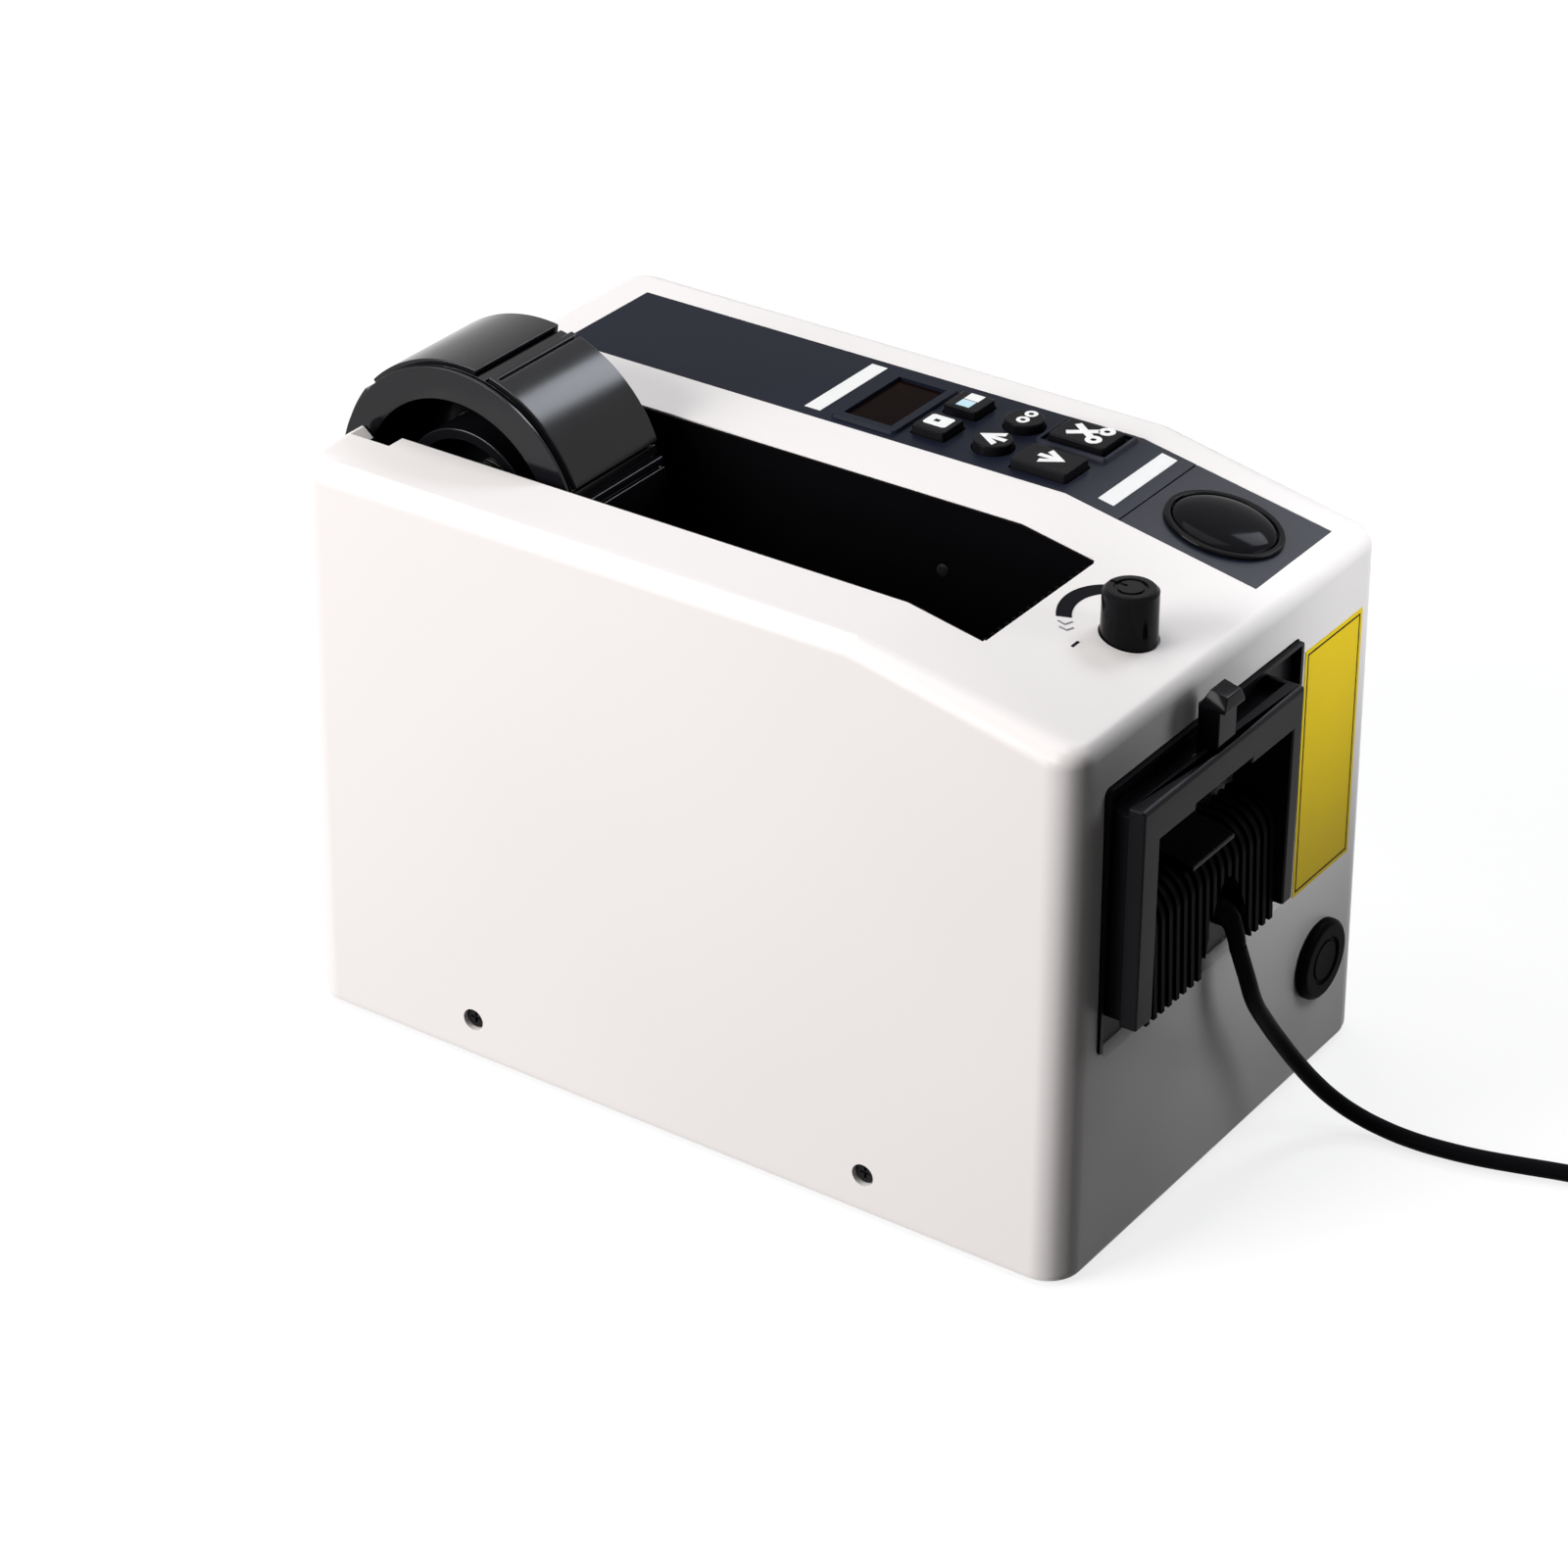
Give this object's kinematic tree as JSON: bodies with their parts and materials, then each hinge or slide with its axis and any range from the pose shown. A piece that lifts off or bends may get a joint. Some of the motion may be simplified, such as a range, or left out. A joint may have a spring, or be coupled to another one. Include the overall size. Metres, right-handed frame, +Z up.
{
  "type": "electric tape dispenser",
  "caption": "Desktop electric tape dispenser: box housing with a rear tape reel, key panel, oval start button, pressure knob and a ribbed front outlet with a cutter.",
  "frame": {"origin": "on the ground, under the middle of the machine without its lead", "axes": "+Z up; the tape outlet faces -Y; the tape bay lies on the -X side"},
  "size_m": [0.1476, 0.4318, 0.1806],
  "materials": {
    "housing_plastic": "glossy moulded",
    "black_plastic": "fine moulded grain",
    "panel_plastic": "satin",
    "key_plastic": "satin",
    "start_plastic": "polished",
    "display_lens": "polished",
    "foot_rubber": "matte",
    "base_paint": "baked enamel",
    "sheet_steel": "zinc plated",
    "bright_steel": "ground",
    "roller_rubber": "matte",
    "white_nylon": "smooth",
    "brass": "machined",
    "circuit_board": "lacquered",
    "transformer_iron": "varnished",
    "cord_pvc": "semi-matte"
  },
  "bodies": {
    "case": {"housing": "housing_plastic", "base_plate": "base_paint", "rubber_feet": "foot_rubber", "case_screws": "sheet_steel", "bay_liner": "black_plastic", "cradle_left": "black_plastic", "cradle_right": "black_plastic", "entry_guide": "black_plastic", "control_panel": "panel_plastic", "button_panel": "panel_plastic", "start_ring": "panel_plastic", "display_window": "display_lens", "main_board": "circuit_board", "feed_deck": "sheet_steel", "feed_frame_left": "sheet_steel", "feed_frame_right": "sheet_steel", "feed_motor": "sheet_steel", "press_pin": "bright_steel", "press_spring": "bright_steel", "fixed_blade": "bright_steel", "cutter_motor": "sheet_steel", "outlet_plate": "black_plastic", "outlet_hood": "black_plastic", "outlet_chute": "black_plastic", "outlet_tongue": "black_plastic", "blanking_plug": "black_plastic", "transformer": "transformer_iron", "switch_bezel": "black_plastic", "cord_gland": "cord_pvc", "power_cord": "cord_pvc", "cord_coil": "cord_pvc", "coil_tie": "cord_pvc", "mains_plug": "cord_pvc"},
    "axle": {"reel_axle": "bright_steel"},
    "reel": {"reel_drum": "black_plastic", "reel_hub": "black_plastic", "reel_grips": "black_plastic"},
    "feed": {"feed_shaft": "bright_steel", "feed_roller": "roller_rubber", "feed_gear": "white_nylon"},
    "drive_pinion": {"motor_pinion": "brass"},
    "arm": {"press_arm": "sheet_steel"},
    "pressing_roller": {"press_roller": "white_nylon"},
    "knob": {"pressure_knob": "black_plastic", "pressure_screw": "bright_steel"},
    "cutter": {"blade_carriage": "sheet_steel", "moving_blade": "bright_steel"},
    "cutter_drive": {"cutter_pinion": "brass"},
    "single_key": {"key_single": "key_plastic"},
    "double_key": {"key_double": "key_plastic"},
    "preset_key": {"key_preset": "key_plastic"},
    "up_key": {"key_up": "key_plastic"},
    "cut_key": {"key_cut": "key_plastic"},
    "down_key": {"key_down": "key_plastic"},
    "starter": {"start_button": "start_plastic"},
    "latch": {"release_latch": "black_plastic"},
    "rocker": {"switch_rocker": "black_plastic"}
  },
  "joints": [
    {"name": "reel_lift", "type": "slide", "parent": "case", "child": "axle", "axis": [0, 0.7716, 0.6361], "range_m": [0, 0.06]},
    {"name": "reel_spin", "type": "hinge", "parent": "axle", "child": "reel", "pos_m": [-0.0273, 0.085, 0.1416], "axis": [1, 0, 0], "continuous": true},
    {"name": "feed_spin", "type": "hinge", "parent": "case", "child": "feed", "pos_m": [-0.0228, -0.0889, 0.097], "axis": [1, 0, 0], "continuous": true},
    {"name": "drive_pinion_spin", "type": "hinge", "parent": "case", "child": "drive_pinion", "pos_m": [0.0117, -0.0889, 0.07085], "axis": [1, 0, 0], "continuous": true},
    {"name": "arm_swing", "type": "hinge", "parent": "case", "child": "arm", "pos_m": [-0.0228, -0.0807, 0.1223], "axis": [-1, 0, 0], "range_deg": [0, 6], "stiffness_Nm_per_rad": 0.4, "deforming": ["press_spring"]},
    {"name": "pressing_roller_spin", "type": "hinge", "parent": "arm", "child": "pressing_roller", "pos_m": [-0.0228, -0.0889, 0.1143], "axis": [1, 0, 0], "continuous": true},
    {"name": "knob_turn", "type": "hinge", "parent": "case", "child": "knob", "pos_m": [-0.0189, -0.0964, 0.15], "axis": [0, 0, 1], "range_deg": [-135, 135]},
    {"name": "cutter_stroke", "type": "slide", "parent": "case", "child": "cutter", "axis": [0, 0, -1], "range_m": [0, 0.012]},
    {"name": "cutter_drive_spin", "type": "hinge", "parent": "case", "child": "cutter_drive", "pos_m": [-0.0624, -0.1068, 0.095], "axis": [0, 1, 0], "range_deg": [-2, 118]},
    {"name": "single_key_press", "type": "slide", "parent": "case", "child": "single_key", "axis": [0, 0, -1], "range_m": [0, 0.001], "stiffness_N_per_m": 250},
    {"name": "double_key_press", "type": "slide", "parent": "case", "child": "double_key", "axis": [0, 0, -1], "range_m": [0, 0.001], "stiffness_N_per_m": 250},
    {"name": "preset_key_press", "type": "slide", "parent": "case", "child": "preset_key", "axis": [0, 0, -1], "range_m": [0, 0.001], "stiffness_N_per_m": 250},
    {"name": "up_key_press", "type": "slide", "parent": "case", "child": "up_key", "axis": [0, 0, -1], "range_m": [0, 0.001], "stiffness_N_per_m": 250},
    {"name": "cut_key_press", "type": "slide", "parent": "case", "child": "cut_key", "axis": [0, 0, -1], "range_m": [0, 0.001], "stiffness_N_per_m": 250},
    {"name": "down_key_press", "type": "slide", "parent": "case", "child": "down_key", "axis": [0, 0, -1], "range_m": [0, 0.001], "stiffness_N_per_m": 250},
    {"name": "starter_press", "type": "slide", "parent": "case", "child": "starter", "axis": [0, 0.1813, -0.9834], "range_m": [0, 0.0015], "stiffness_N_per_m": 600},
    {"name": "latch_press", "type": "slide", "parent": "case", "child": "latch", "axis": [0, 0, -1], "range_m": [0, 0.003], "stiffness_N_per_m": 300},
    {"name": "rocker_tilt", "type": "hinge", "parent": "case", "child": "rocker", "pos_m": [0.0456, 0.11502, 0.034], "axis": [1, 0, 0], "range_deg": [0, 12]}
  ],
  "couplings": [
    {"joint": "drive_pinion_spin", "follows": "feed_spin", "ratio": -3.3333},
    {"joint": "pressing_roller_spin", "follows": "feed_spin", "ratio": -1.8333},
    {"joint": "cutter_drive_spin", "follows": "cutter_stroke", "rad_per_m": 166.67}
  ]
}
